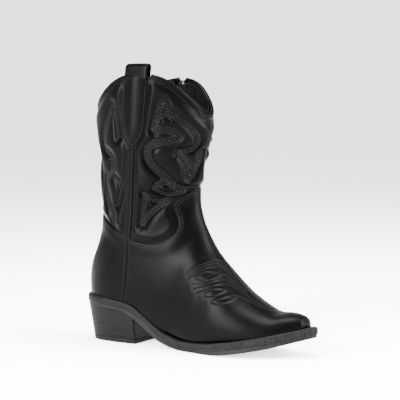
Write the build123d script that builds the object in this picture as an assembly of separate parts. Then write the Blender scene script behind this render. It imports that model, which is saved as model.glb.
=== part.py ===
from build123d import *
import math
import os

# Right-foot western boot, mid-calf, with a zip on the inner side. Millimetres.
# +X points to the toe, +Z up, -Y is the outer (lateral) side, +Y the inner (medial) side.
# The origin is on the ground, at the centre of the boot's footprint.

# ---- driving dimensions ----
LEATHER = 1.4            # outer leather
FOOT_PACK = 2.6          # leather plus stiffener or backing, in the foot
FOOT_INNER = 3.8         # leather, backing and lining, in the foot
PADDED = 3.8             # leather plus foam, in the shaft
SHAFT_INNER = 4.6        # leather, foam and lining, in the shaft
GUARD_INNER = 5.6        # inner face of the flap behind the zip

WELT_THICK = 7.6         # sole band
TREAD_INSET = 0.9        # the tread is this much smaller all round
INSOLE_THICK = 2.0
SOCK_THICK = 2.0
SHANK_THICK = 1.8
SHANK_WIDTH = 15.0
SHANK_X = (-96.0, 12.0)

HEEL_BREAST_X = -67.0    # front face of the heel
HEEL_BACK_X = -129.5     # back of the heel, at the ground
HEEL_HALF_WIDTH = 23.5   # at the ground
HEEL_HALF_WIDTH_TOP = 31.0
HEEL_BACK_X_TOP = -137.0
HEEL_FRONT_X = -50.0     # the heel's rings run forward of the breast, which cuts them
HEEL_POINTS = 24
TOP_LIFT_THICK = 5.0
NAIL_RADIUS = 1.2
NAIL_TOP_Z = 47.0
NAIL_BOTTOM_Z = 24.0
NAIL_PLACES = [(-122, 0), (-110, 14), (-110, -14), (-88, 15), (-88, -15)]
PUFF_X = 80.0            # the toe puff starts here
COUNTER_X = -58.0        # the heel counter ends here
COUNTER_Z = 102.0        # and at this height

STRAP_WIDTH = 27.2
STRAP_THICK = 1.6
STRAP_TOP_Z = 300.0
STRAP_TOP_X = -46.5
STRAP_TIP_X = -58.0
STRAP_TIP_Z = 213.0
STRAP_SHOULDER_Z = 240.0
LOOP_BASE_Z = 286.5
LOOP_Y_OUTER = -52.0     # outside faces of the loop
LOOP_Y_INNER = -42.2
SEAM_STRIP_WIDTH = 6.0
SEAM_STRIP_THICK = 1.1
PIPING_PROUD = 0.8       # the collar's piping stands out this much on both faces
PIPING_HEIGHT = 2.0

ZIP_TOP = (-49.5, 49.6, 281.0)      # upper end of the zip's line, on the leather's surface
ZIP_BOTTOM = (-68.5, 32.6, 92.0)    # lower end
ZIP_SLOT_HALF = 6.0
ZIP_TAPE_HALF = 13.0
ZIP_TAPE_THICK = 0.7
GUARD_HALF = 21.0
TEETH_WIDTH = 2.6
TEETH_THICK = 1.8
TEETH_DEPTH = 1.75                  # depth of the teeth's middle below the leather's surface
TEETH_GAP_HALF = 0.55
TEETH_RANGE = (5.0, 181.5)          # along the zip from its lower end
SLIDER_ALONG = 175.5                # middle of the slider when the zip is closed
SLIDER_LENGTH = 12.0
SLIDER_WIDTH = 9.0
SLIDER_PLATE = 1.0
SLIDER_LOW = -0.5                   # underside of the slider's top plate
DIVIDER_HALF = 0.3
BRIDGE_HALF = 1.0
BRIDGE_HEIGHT = 2.8
PULLER_AXIS_OUT = 1.45
PULLER_LENGTH = 22.0
PULLER_WIDTH = 7.0
PULLER_THICK = 1.2
PULLER_EYE = 4.4
PULLER_ARM_NEAR = 1.35
PULLER_ARM_FAR = 3.3

FAR_Y = 75.0             # beyond the boot's widest side

# ---- the last: cross-sections fan round the instep from the toe to the shaft's top ----
# Each row: lower or back point (x, z), upper or front point (x, z), half width outside,
# half width inside, height of the widest place as a share, roundness above and below it.
STATIONS = [
    (127, 30, 126, 38, 7.5, 7, 0.50, 2.0, 2.2),
    (125, 24.5, 122.5, 42.3, 13, 12, 0.46, 2.1, 2.6),
    (115.5, 18.5, 109.5, 45, 22, 19.5, 0.41, 2.2, 3.2),
    (96, 14, 88, 46.3, 32.5, 28.5, 0.35, 2.0, 3.6),
    (68, 10, 60, 61.5, 40, 37, 0.32, 1.9, 4.0),
    (38, 6, 37, 84, 42.5, 40, 0.30, 1.8, 4.0),
    (8, 4, 21, 103, 40, 37.5, 0.32, 1.75, 4.0),
    (-20, 8, 10.5, 121, 36.5, 34, 0.34, 1.75, 3.8),
    (-45, 12, 3.5, 136, 34.5, 32.5, 0.34, 1.75, 3.6),
    (-71, 27, 0, 149, 33.5, 32.5, 0.35, 1.8, 3.8),
    (-102, 33, -1.5, 159, 33.5, 32.5, 0.38, 1.8, 3.8),
    (-127.5, 38, -2, 167, 33.5, 33.2, 0.46, 1.85, 2.8),
    (-135.5, 60, -1, 176, 34, 35.2, 0.50, 1.9, 2.2),
    (-133.5, 81, 1, 186, 35, 36.4, 0.50, 1.9, 2.1),
    (-123.5, 107, 3.5, 198, 36, 37.8, 0.50, 1.9, 2.0),
    (-117.5, 135, 6, 211, 38, 39.7, 0.50, 1.9, 2.0),
    (-117, 170, 9, 225, 41, 41.9, 0.50, 1.9, 2.0),
    (-118.5, 210, 11, 243, 45, 44.7, 0.50, 1.9, 2.0),
    (-123.5, 270, 14, 286, 49.5, 49.5, 0.50, 1.9, 2.0),
    (-126, 306, 15.5, 309, 52, 52, 0.50, 1.9, 2.0),
]
QUARTER_POINTS = 8
STATION_STEP = 0.5

# Side-view curves, as (x, z) points.
FEATHER = [(-142, 51), (-128, 50.3), (-94, 48), (-71.6, 44), (-58.5, 37.3), (-44.5, 27.4), (-29.4, 17.5),
           (-12, 11.3), (3, 9.9), (28, 11.1), (61, 15.9), (90.7, 21.6), (118.5, 28), (142, 32.5)]
SOLE_BOTTOM = [(-142, 40.5), (-94, 38.5), (-76, 35), (-65.7, 29.5), (-56, 23), (-46, 15.5), (-33, 7.4),
               (-21, 3), (-8, 0.6), (0, 0), (22, 0), (45, 1.2), (64, 3.9), (83, 7.6), (102, 12), (120, 17),
               (142, 22.5)]
TOPLINE_OUTER = [(24, 243.5), (12, 243.5), (7.5, 254.5), (-2.2, 267.5), (-11.5, 277.3), (-22, 283.6),
                 (-34, 286.8), (-50, 287.3), (-65, 285.3), (-80, 279.5), (-97, 269), (-114, 256), (-123, 250),
                 (-134, 248)]
TOPLINE_INNER = [(24, 243.5), (12, 243.5), (4, 253), (-9.5, 266), (-21.5, 275.8), (-33, 281.5), (-44, 283.6),
                 (-55, 284), (-69, 281.8), (-84, 276.3), (-99, 267.3), (-114, 256), (-123, 250), (-134, 248)]
SHAFT_EDGE = [(30, 172), (0, 170), (-8, 164.5), (-20, 155.5), (-19.5, 146), (-14.5, 134), (-15.5, 124.5),
              (-21.5, 117), (-31, 112), (-44, 110), (-57, 111.8), (-69.5, 115.8), (-83, 122.5),
              (-95, 129), (-106, 135), (-117, 140.5), (-150, 150)]
SIDE_SEAM = [(-77, 30), (-75.5, 53), (-72.5, 81), (-70, 113), (-67, 135), (-64, 164), (-60, 199),
             (-55, 232), (-51.5, 255), (-48, 285), (-46, 305)]

# Plan outline of the sole band: outer side from heel to toe, then the inner side back.
SOLE_OUTLINE = [(-137.5, 0), (-134, -13.5), (-124.5, -25), (-105, -31.5), (-75, -32.5), (-45, -32.5),
                (-15, -34), (15, -39.5), (40, -44.5), (62, -44), (88, -38), (108, -28.3), (124, -17.5),
                (133.5, -8), (137.3, 0), (133.5, 7.5), (124, 15.8), (108, 25), (88, 33.5), (62, 40.5),
                (40, 42), (15, 38.5), (-15, 32.5), (-45, 31), (-75, 31.5), (-105, 31), (-124.5, 25),
                (-134, 13.5)]


# ---- helpers ----
def between_stations(t):
    """The section row at a fractional station, on a smooth curve through the rows."""
    last = len(STATIONS) - 1
    i = min(int(t), last - 1)
    u = t - i
    rows = [STATIONS[k] for k in (max(i - 1, 0), i, i + 1, min(i + 2, last))]
    blend = []
    for a, b, c, d in zip(*rows):
        linear = (c - a) * u
        square = (2 * a - 5 * b + 4 * c - d) * u * u
        cube = (3 * b - a - 3 * c + d) * u ** 3
        blend.append(b + 0.5 * (linear + square + cube))
    return blend


def section_point(row, angle, inset):
    """One point of a cross-section: angle 0 is the inner side, 90 the front, 180 the outer side."""
    low_x, low_z, up_x, up_z, outer, inner, share, round_up, round_low = row
    height = math.hypot(up_x - low_x, up_z - low_z)
    dir_x, dir_z = (up_x - low_x) / height, (up_z - low_z) / height
    widest = share * height
    c, s = round(math.cos(angle), 12), round(math.sin(angle), 12)
    half = (inner if c >= 0 else outer) - inset
    power = 2 / (round_up if s >= 0 else round_low)
    y = half * math.copysign(abs(c) ** power, c)
    if s >= 0:
        h = widest + (height - inset - widest) * abs(s) ** power
    else:
        h = widest - (widest - inset) * abs(s) ** power
    return (low_x + dir_x * h, y, low_z + dir_z * h)


def section_wire(t, inset):
    """A cross-section of the last as four curves, made smaller by inset."""
    row = between_stations(t)
    steps = [k / QUARTER_POINTS for k in range(QUARTER_POINTS + 1)]
    curves = []
    for quarter in range(4):
        power = (row[7] if quarter < 2 else row[8]) / 2
        shares = [s ** power / (s ** power + (1 - s) ** power) for s in steps]
        angles = [math.pi / 2 * (quarter + share) for share in shares]
        points = [Vector(*section_point(row, angle, inset)) for angle in angles]
        curves.append(Edge.make_spline(points, parameters=steps))
    return Wire(curves)


def last_body(inset, start=0.0):
    """The last as one solid from a station near the toe up, its surface inset from the leather's.

    Deeper bodies start later and end higher, so that no two have an end face in one plane."""
    end = len(STATIONS) - 1.5 + 0.08 * inset
    count = round((end - start) / STATION_STEP)
    wires = [section_wire(start + (end - start) * k / count, inset) for k in range(count + 1)]
    return Solid.make_loft(wires, False)


def prism(wire_edges, y_low, y_high):
    """A closed side-view outline, drawn in the plane y = 0, extruded between two y values."""
    face = Face(Wire(wire_edges))
    return Solid.extrude(face.moved(Location((0, y_low, 0))), Vector(0, y_high - y_low, 0))


def xz(points):
    return [(x, 0, z) for x, z in points]


def polygon_prism(points, y_low, y_high):
    return prism(Polyline(*xz(points), close=True).edges(), y_low, y_high)


def band(points, shift_low, shift_high, y_low=-FAR_Y, y_high=FAR_Y):
    """The region between a side-view curve shifted by two heights."""
    low = Spline(*[(x, 0, z + shift_low) for x, z in points])
    high = Spline(*[(x, 0, z + shift_high) for x, z in points])
    sides = [Line(low @ 1, high @ 1), Line(high @ 0, low @ 0)]
    return prism([low, sides[0], high, sides[1]], y_low, y_high)


def beside(points, shift_back, shift_front, y_low, y_high):
    """The region between a steep side-view curve shifted back and the same curve shifted forward."""
    back = Spline(*[(x + shift_back, 0, z) for x, z in points])
    front = Spline(*[(x + shift_front, 0, z) for x, z in points])
    sides = [Line(back @ 1, front @ 1), Line(front @ 0, back @ 0)]
    return prism([back, sides[0], front, sides[1]], y_low, y_high)


def zip_x(z):
    """x of the zip's centre line at a height."""
    share = (z - ZIP_BOTTOM[2]) / (ZIP_TOP[2] - ZIP_BOTTOM[2])
    return ZIP_BOTTOM[0] + share * (ZIP_TOP[0] - ZIP_BOTTOM[0])


def zip_strip(half_back, half_front, z_low, z_high):
    """The inner-side region between two lines beside the zip."""
    corners = [(zip_x(z_low) - half_back, z_low), (zip_x(z_low) + half_front, z_low),
               (zip_x(z_high) + half_front, z_high), (zip_x(z_high) - half_back, z_high)]
    return polygon_prism(corners, 0, FAR_Y)


def one_solid(shape):
    """The largest solid of a cut's result."""
    return max(shape.solids(), key=lambda solid: solid.volume)


def save(name, solids):
    """Write one node's solids to its STEP file."""
    solids = solids if isinstance(solids, list) else [solids]
    shape = solids[0] if len(solids) == 1 else Compound(children=solids)
    export_step(shape, f"parts/{name}.step")


# ---- regions of the upper ----
def make_regions():
    """Side-view regions that divide the upper into its panels."""
    above_feather = band(FEATHER, 0, 400)
    outer_top = band(TOPLINE_OUTER, -400, 0, -FAR_Y, 0)
    inner_top = band(TOPLINE_INNER, -400, 0, 0, FAR_Y)
    tongue = Spline(*xz(SHAFT_EDGE[:4]))
    lobe = Spline(*xz(SHAFT_EDGE[3:]))
    lid = Polyline(lobe @ 1, (-150, 0, 400), (30, 0, 400), tongue @ 0)
    above_seam = prism([tongue, lobe] + list(lid.edges()), -FAR_Y, FAR_Y)
    shaft = above_seam & (outer_top + inner_top)
    foot = above_feather - above_seam
    front = beside(SIDE_SEAM, 0, 250, -FAR_Y, 0) + zip_strip(0, 250, 0, 310)
    low = ZIP_BOTTOM[2]
    return {
        "shaft": shaft, "foot": foot, "front": front,
        "slot": zip_strip(ZIP_SLOT_HALF, ZIP_SLOT_HALF, low - 4, 310),
        "zip_room": zip_strip(ZIP_TAPE_HALF + 1.5, ZIP_TAPE_HALF + 1.5, low - 8, 310),
    }


def layer(bodies, outside, inside, region):
    """The piece of wall between two depths that lies in a region."""
    return one_solid((bodies[outside] & region) - bodies[inside])


# ---- outer leather ----
def make_leather(bodies, regions):
    shaft, foot = regions["shaft"] - regions["slot"], regions["foot"] - regions["slot"]
    front = regions["front"]
    areas = {
        "shaft_front_panel": shaft & front, "shaft_back_panel": shaft - front,
        "vamp": foot & front, "heel_foxing": foot - front,
    }
    return {name: layer(bodies, "outer", "leather", area) for name, area in areas.items()}


# ---- padding, stiffeners and linings ----
def make_shaft_layers(bodies, regions):
    room = regions["shaft"] - regions["zip_room"]
    guard_zone = zip_strip(GUARD_HALF, GUARD_HALF, ZIP_BOTTOM[2] - 6, ZIP_TOP[2] - 8)
    return {
        "shaft_foam_front": layer(bodies, "leather", "foot_inner", room & regions["front"]),
        "shaft_foam_rear": layer(bodies, "leather", "foot_inner", room - regions["front"]),
        "shaft_lining": layer(bodies, "foot_inner", "shaft_inner", room),
        "zip_guard": layer(bodies, "shaft_inner", "guard_inner", guard_zone),
    }


def make_foot_layers(bodies, regions):
    room = regions["foot"] - regions["zip_room"]
    toe = polygon_prism([(PUFF_X, 0), (150, 0), (150, 80), (PUFF_X + 8, 80)], -FAR_Y, FAR_Y)
    heel = polygon_prism([(-150, 0), (COUNTER_X, 0), (COUNTER_X - 12, COUNTER_Z), (-150, COUNTER_Z)],
                         -FAR_Y, FAR_Y)
    return {
        "toe_puff": layer(bodies, "leather", "foot_pack", room & toe),
        "heel_counter": layer(bodies, "leather", "foot_pack", room & heel),
        "foot_interlining": layer(bodies, "leather", "foot_pack", room - toe - heel),
        "foot_lining": layer(bodies, "foot_pack", "foot_inner", room),
    }


# ---- trim on the outside ----
def make_trim(bodies, regions):
    half = SEAM_STRIP_WIDTH / 2
    strip_zone = beside(SIDE_SEAM, -half, half, -FAR_Y, 0)
    strip_zone = strip_zone & polygon_prism([(-150, 116), (0, 116), (0, 211), (-150, 211)], -FAR_Y, 0)
    edge = band(TOPLINE_OUTER, 0, PIPING_HEIGHT, -FAR_Y, 0) - polygon_prism(strap_outline(0.4), -FAR_Y, 0)
    edge = edge + (band(TOPLINE_INNER, 0, PIPING_HEIGHT, 0, FAR_Y) - regions["slot"])
    return {
        "side_seam_strip": layer(bodies, "strip_outer", "outer", strip_zone),
        "collar_piping_front": layer(bodies, "piping_outer", "piping_inner", edge & regions["front"]),
        "collar_piping_rear": layer(bodies, "piping_outer", "piping_inner", edge - regions["front"]),
    }


def strap_outline(grow):
    """Side-view outline of the pull strap's outer leg: straight sides and a pointed round end."""
    half = STRAP_WIDTH / 2 + grow
    points = []
    for share in (0, 0.2, 0.45, 0.7, 0.88, 1):
        width = half * math.sqrt(1 - share ** 2)
        z = STRAP_SHOULDER_Z + share * (STRAP_TIP_Z - grow - STRAP_SHOULDER_Z)
        points.append((strap_x(z), width, z))
    left = [(x - width, z) for x, width, z in points]
    right = [(x + width, z) for x, width, z in reversed(points[:-1])]
    top = STRAP_TOP_Z
    return [(strap_x(top) - half, top)] + left + right + [(strap_x(top) + half, top)]


def strap_x(z):
    """x of the strap's centre line at a height."""
    share = (z - STRAP_TIP_Z) / (STRAP_TOP_Z - STRAP_TIP_Z)
    return STRAP_TIP_X + share * (STRAP_TOP_X - STRAP_TIP_X)


def make_strap(bodies):
    """The folded pull strap: outer leg, loop over the top edge and short inner leg."""
    outline = polygon_prism(strap_outline(0), -FAR_Y, 0)
    outer_zone = outline & polygon_prism([(-150, 0), (50, 0), (50, LOOP_BASE_Z), (-150, LOOP_BASE_Z)],
                                         -FAR_Y, 0)
    inner_zone = outer_zone & polygon_prism([(-150, LOOP_BASE_Z - 28), (50, LOOP_BASE_Z - 28), (50, 400),
                                             (-150, 400)], -FAR_Y, 0)
    outer_leg = layer(bodies, "strap_outer", "outer", outer_zone)
    inner_leg = layer(bodies, "shaft_inner", "strap_inner", inner_zone)
    outside_y, inside_y = LOOP_Y_OUTER, LOOP_Y_INNER
    base = LOOP_BASE_Z - 1.0
    radius = abs(outside_y - inside_y) / 2
    centre = (outside_y + inside_y) / 2
    top = STRAP_TOP_Z - radius
    path = [Line((0, outside_y, base), (0, outside_y, top)),
            ThreePointArc((0, outside_y, top), (0, centre, top + radius), (0, inside_y, top)),
            Line((0, inside_y, top), (0, inside_y, base))]
    small = radius - STRAP_THICK
    back = [Line((0, inside_y, base), (0, centre + small, base)),
            Line((0, centre + small, base), (0, centre + small, top)),
            ThreePointArc((0, centre + small, top), (0, centre, top + small), (0, centre - small, top)),
            Line((0, centre - small, top), (0, centre - small, base)),
            Line((0, centre - small, base), (0, outside_y, base))]
    face = Face(Wire(path + back))
    middle_x = strap_x(LOOP_BASE_Z)
    start = face.moved(Location((middle_x - STRAP_WIDTH / 2, 0, 0)))
    loop = Solid.extrude(start, Vector(STRAP_WIDTH, 0, 0))
    return one_solid(outer_leg + loop + inner_leg)


# ---- bottom ----
def sole_slab(inset, points_low, shift_low, points_high, shift_high):
    """A slab with the sole's plan outline between two side-view curves."""
    outline = []
    for x, y in SOLE_OUTLINE:
        length = math.hypot(x, y * 3)
        outline.append((x * (1 - inset / 138), y - inset * 3 * y / length, 0))
    face = Face(Wire([Spline(*outline, periodic=True)]))
    slab = Solid.extrude(face, Vector(0, 0, 90))
    return slab & band(points_low, shift_low, 200) & band(points_high, -200, shift_high)


def make_heel():
    """The heel block with its top lift, tapering to the ground."""
    def ring(back_x, half, z):
        reach = HEEL_FRONT_X - back_x
        points = []
        for k in range(HEEL_POINTS + 1):
            angle = math.pi * k / HEEL_POINTS
            x = HEEL_FRONT_X - reach * math.sin(angle) ** 0.62
            points.append((x, half * math.copysign(abs(math.cos(angle)) ** 0.62, math.cos(angle)), z))
        curve = Spline(*points)
        return Face(Wire([curve, Line(curve @ 1, curve @ 0)]))

    raw = Solid.make_loft([ring(HEEL_BACK_X, HEEL_HALF_WIDTH, 0).outer_wire(),
                           ring(HEEL_BACK_X_TOP, HEEL_HALF_WIDTH_TOP, 46).outer_wire()], True)
    behind = polygon_prism([(-150, 0), (HEEL_BREAST_X, 0), (HEEL_BREAST_X, 60), (-150, 60)], -FAR_Y, FAR_Y)
    raw = one_solid(raw & behind & band(SOLE_BOTTOM, -200, 0))
    lift_zone = polygon_prism([(-150, -1), (0, -1), (0, TOP_LIFT_THICK), (-150, TOP_LIFT_THICK)],
                              -FAR_Y, FAR_Y)
    return one_solid(raw - lift_zone), one_solid(raw & lift_zone)


def make_bottom(bodies):
    parts = {}
    shank_zone = Box(SHANK_X[1] - SHANK_X[0], SHANK_WIDTH, 120)
    shank_zone = shank_zone.moved(Location(((SHANK_X[0] + SHANK_X[1]) / 2, 0, 30)))
    shank = band(FEATHER, -SHANK_THICK, 0) & shank_zone
    midsole = sole_slab(0, FEATHER, -WELT_THICK, FEATHER, 0) - shank
    outsole = sole_slab(TREAD_INSET, SOLE_BOTTOM, 0, FEATHER, -WELT_THICK)
    insole = bodies["foot_inner"] & band(FEATHER, 0, INSOLE_THICK)
    sock = bodies["foot_inner"] & band(FEATHER, INSOLE_THICK, INSOLE_THICK + SOCK_THICK)
    block, lift = make_heel()
    nails = []
    for x, y in NAIL_PLACES:
        nails.append(Solid.make_cylinder(NAIL_RADIUS, NAIL_TOP_Z - NAIL_BOTTOM_Z, Plane((x, y, NAIL_BOTTOM_Z))))
    for nail in nails:
        midsole = midsole - nail
        outsole = outsole - nail
        block = block - nail
        insole = insole - nail
    parts["shank"] = one_solid(shank)
    parts["midsole_welt"] = one_solid(midsole)
    parts["outsole"] = one_solid(outsole)
    parts["insole_board"] = one_solid(insole)
    parts["sock_liner"] = one_solid(sock)
    parts["heel_block"] = one_solid(block)
    parts["top_lift"] = lift
    parts["heel_nails"] = nails
    return parts


# ---- zip ----
def zip_place():
    """Where the zip's own frame sits: x to the heel, y up the zip, z outwards, z = 0 at the leather."""
    low, high = Vector(*ZIP_BOTTOM), Vector(*ZIP_TOP)
    along = (high - low).normalized()
    rearward = along.cross(Vector(0, 1, 0)).normalized()
    return Plane(origin=low, x_dir=rearward, z_dir=rearward.cross(along)).location


def local_box(rear, along, out):
    """A box in the zip's frame from its ranges towards the heel, up the zip and outwards."""
    box = Solid.make_box(rear[1] - rear[0], along[1] - along[0], out[1] - out[0])
    return box.moved(Location((rear[0], along[0], out[0])))


def make_tapes(bodies):
    """Two woven tapes that follow the leather's inner face."""
    low, high = ZIP_BOTTOM[2] - 6, ZIP_TOP[2] - 1
    edge = TEETH_GAP_HALF + TEETH_WIDTH + 0.15
    front = layer(bodies, "leather", "tape_inner", zip_strip(-edge, ZIP_TAPE_HALF, low, high))
    rear = layer(bodies, "leather", "tape_inner", zip_strip(ZIP_TAPE_HALF, -edge, low, high))
    return front, rear


def make_teeth(place):
    out = (-TEETH_DEPTH - TEETH_THICK / 2, -TEETH_DEPTH + TEETH_THICK / 2)
    near, far = TEETH_GAP_HALF, TEETH_GAP_HALF + TEETH_WIDTH
    front = local_box((-far, -near), TEETH_RANGE, out).moved(place)
    rear = local_box((near, far), TEETH_RANGE, out).moved(place)
    return front, rear


def make_stops(place):
    out = (-TEETH_DEPTH - 1.0, -TEETH_DEPTH + 1.05)
    top_range = (TEETH_RANGE[1] + 1.5, TEETH_RANGE[1] + 4.5)
    bottom_range = (TEETH_RANGE[0] - 4.5, TEETH_RANGE[0] - 1.0)
    tops = [local_box(rear, top_range, out).moved(place) for rear in ((-3.0, -0.7), (0.7, 3.0))]
    return tops, local_box((-2.8, 2.8), bottom_range, out).moved(place)


def make_slider(place):
    """Slider body: two plates joined by the divider, with the bridge that holds the puller."""
    half_width, half_length = SLIDER_WIDTH / 2, SLIDER_LENGTH / 2
    middle = SLIDER_ALONG
    along = (middle - half_length, middle + half_length)
    top = local_box((-half_width, half_width), along, (SLIDER_LOW, SLIDER_LOW + SLIDER_PLATE))
    top = top.fillet(2.2, [e for e in top.edges() if abs((e % 0.5).Z) > 0.9])
    bottom_high = -2 * TEETH_DEPTH - SLIDER_LOW - 0.1
    bottom = local_box((-half_width, half_width), along, (bottom_high - 0.9, bottom_high))
    bottom = bottom.fillet(2.2, [e for e in bottom.edges() if abs((e % 0.5).Z) > 0.9])
    divider = local_box((-DIVIDER_HALF, DIVIDER_HALF), (middle + 1.5, middle + 5.5),
                        (bottom_high - 0.3, SLIDER_LOW + 0.3))
    surface = SLIDER_LOW + SLIDER_PLATE
    bridge = local_box((-BRIDGE_HALF, BRIDGE_HALF), (middle - 3.5, middle + 3.5),
                       (surface - 0.2, surface + BRIDGE_HEIGHT))
    bridge = bridge.fillet(1.2, [e for e in bridge.edges()
                                 if abs((e % 0.5).X) > 0.9 and e.center().Z > surface + 1])
    eye = local_box((-5, 5), (middle - 2.6, middle + 2.6), (surface, surface + BRIDGE_HEIGHT - 0.9))
    return one_solid(top + bottom + divider + (bridge - eye)).moved(place)


def make_puller(place):
    """Puller: crossbar under the bridge, two arms past it and the tab that hangs down the zip."""
    middle, axis_out = SLIDER_ALONG, PULLER_AXIS_OUT
    half = PULLER_THICK / 2
    out = (axis_out - half, axis_out + half)
    bar = Solid.make_cylinder(half, 2 * PULLER_ARM_FAR, Plane(origin=(-PULLER_ARM_FAR, middle, axis_out),
                                                              z_dir=(1, 0, 0)))
    shape = bar
    for rear in ((-PULLER_ARM_FAR, -PULLER_ARM_NEAR), (PULLER_ARM_NEAR, PULLER_ARM_FAR)):
        shape = shape + local_box(rear, (middle - PULLER_EYE - 0.4, middle), out)
    tab = local_box((-PULLER_WIDTH / 2, PULLER_WIDTH / 2), (middle - PULLER_LENGTH, middle - PULLER_EYE), out)
    tab = tab.fillet(PULLER_WIDTH / 2 - 0.4, [e for e in tab.edges() if abs((e % 0.5).Z) > 0.9
                                              and e.center().Y < middle - PULLER_LENGTH + 1])
    tab = tab.fillet(1.0, [e for e in tab.edges() if abs((e % 0.5).Z) > 0.9
                           and e.center().Y > middle - PULLER_EYE - 1])
    hole = Solid.make_cylinder(1.1, 6, Plane(origin=(0, middle - PULLER_LENGTH + 3.6, axis_out - 3)))
    return one_solid(shape + (tab - hole)).moved(place)


# ---- assembly ----
def make_bodies():
    """The last at each depth: name, inset from the leather's surface, first station."""
    depths = {
        "strap_outer": (-STRAP_THICK, 10), "strip_outer": (-SEAM_STRIP_THICK, 9),
        "piping_outer": (-PIPING_PROUD, 8), "outer": (0, 0.1), "leather": (LEATHER, 0.35),
        "tape_inner": (LEATHER + ZIP_TAPE_THICK, 4), "foot_pack": (FOOT_PACK, 1),
        "foot_inner": (FOOT_INNER, 1.3), "shaft_inner": (SHAFT_INNER, 5),
        "piping_inner": (SHAFT_INNER + PIPING_PROUD, 9), "guard_inner": (GUARD_INNER, 6),
        "strap_inner": (SHAFT_INNER + STRAP_THICK, 10),
    }
    return {name: last_body(inset, start) for name, (inset, start) in depths.items()}


def main():
    os.makedirs("parts", exist_ok=True)
    bodies = make_bodies()
    regions = make_regions()
    parts = make_leather(bodies, regions)
    parts.update(make_shaft_layers(bodies, regions))
    parts.update(make_foot_layers(bodies, regions))
    parts.update(make_trim(bodies, regions))
    parts["pull_strap"] = make_strap(bodies)
    parts.update(make_bottom(bodies))
    place = zip_place()
    parts["zip_tape_front"], parts["zip_tape_rear"] = make_tapes(bodies)
    parts["zip_teeth_front"], parts["zip_teeth_rear"] = make_teeth(place)
    parts["zip_top_stops"], parts["zip_bottom_stop"] = make_stops(place)
    parts["zip_slider"] = make_slider(place)
    parts["zip_puller"] = make_puller(place)
    for name, solids in parts.items():
        save(name, solids)
    print(len(parts), "nodes")


main()
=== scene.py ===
import bmesh
import bpy
import functools
import math
import numpy as np
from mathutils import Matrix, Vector
from mathutils.kdtree import KDTree


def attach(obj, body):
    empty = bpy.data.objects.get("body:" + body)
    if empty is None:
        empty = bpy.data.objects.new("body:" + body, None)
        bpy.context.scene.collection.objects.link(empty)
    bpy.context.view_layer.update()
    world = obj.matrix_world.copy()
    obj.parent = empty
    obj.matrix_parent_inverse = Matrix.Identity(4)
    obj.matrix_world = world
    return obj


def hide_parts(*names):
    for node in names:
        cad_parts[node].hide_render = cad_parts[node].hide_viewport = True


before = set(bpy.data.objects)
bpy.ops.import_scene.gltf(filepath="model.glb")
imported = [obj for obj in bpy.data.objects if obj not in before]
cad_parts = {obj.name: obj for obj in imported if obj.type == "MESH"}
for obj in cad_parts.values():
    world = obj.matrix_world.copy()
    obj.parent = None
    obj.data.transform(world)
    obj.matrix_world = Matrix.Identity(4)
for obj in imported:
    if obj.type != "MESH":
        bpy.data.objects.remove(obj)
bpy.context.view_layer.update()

MM = 0.001
FAR = 99.0

# ---- the last
# The same sections as the solid model: lower or back point, upper or front point, half widths
# outside and inside, share of the widest place, roundness above and below it. Millimetres.
STATIONS = np.array([
    (127, 30, 126, 38, 7.5, 7, 0.50, 2.0, 2.2),
    (125, 24.5, 122.5, 42.3, 13, 12, 0.46, 2.1, 2.6),
    (115.5, 18.5, 109.5, 45, 22, 19.5, 0.41, 2.2, 3.2),
    (96, 14, 88, 46.3, 32.5, 28.5, 0.35, 2.0, 3.6),
    (68, 10, 60, 61.5, 40, 37, 0.32, 1.9, 4.0),
    (38, 6, 37, 84, 42.5, 40, 0.30, 1.8, 4.0),
    (8, 4, 21, 103, 40, 37.5, 0.32, 1.75, 4.0),
    (-20, 8, 10.5, 121, 36.5, 34, 0.34, 1.75, 3.8),
    (-45, 12, 3.5, 136, 34.5, 32.5, 0.34, 1.75, 3.6),
    (-71, 27, 0, 149, 33.5, 32.5, 0.35, 1.8, 3.8),
    (-102, 33, -1.5, 159, 33.5, 32.5, 0.38, 1.8, 3.8),
    (-127.5, 38, -2, 167, 33.5, 33.2, 0.46, 1.85, 2.8),
    (-135.5, 60, -1, 176, 34, 35.2, 0.50, 1.9, 2.2),
    (-133.5, 81, 1, 186, 35, 36.4, 0.50, 1.9, 2.1),
    (-123.5, 107, 3.5, 198, 36, 37.8, 0.50, 1.9, 2.0),
    (-117.5, 135, 6, 211, 38, 39.7, 0.50, 1.9, 2.0),
    (-117, 170, 9, 225, 41, 41.9, 0.50, 1.9, 2.0),
    (-118.5, 210, 11, 243, 45, 44.7, 0.50, 1.9, 2.0),
    (-123.5, 270, 14, 286, 49.5, 49.5, 0.50, 1.9, 2.0),
    (-126, 306, 15.5, 309, 52, 52, 0.50, 1.9, 2.0),
], float)
LAST_ROW = len(STATIONS) - 1

FEATHER = [(-142, 51), (-128, 50.3), (-94, 48), (-71.6, 44), (-58.5, 37.3), (-44.5, 27.4), (-29.4, 17.5),
           (-12, 11.3), (3, 9.9), (28, 11.1), (61, 15.9), (90.7, 21.6), (118.5, 28), (142, 32.5)]
SOLE_BOTTOM = [(-142, 40.5), (-94, 38.5), (-76, 35), (-65.7, 29.5), (-56, 23), (-46, 15.5), (-33, 7.4),
               (-21, 3), (-8, 0.6), (0, 0), (22, 0), (45, 1.2), (64, 3.9), (83, 7.6), (102, 12), (120, 17),
               (142, 22.5)]
TOPLINE_OUTER = [(24, 243.5), (12, 243.5), (7.5, 254.5), (-2.2, 267.5), (-11.5, 277.3), (-22, 283.6),
                 (-34, 286.8), (-50, 287.3), (-65, 285.3), (-80, 279.5), (-97, 269), (-114, 256), (-123, 250),
                 (-134, 248)]
TOPLINE_INNER = [(24, 243.5), (12, 243.5), (4, 253), (-9.5, 266), (-21.5, 275.8), (-33, 281.5), (-44, 283.6),
                 (-55, 284), (-69, 281.8), (-84, 276.3), (-99, 267.3), (-114, 256), (-123, 250), (-134, 248)]
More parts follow.
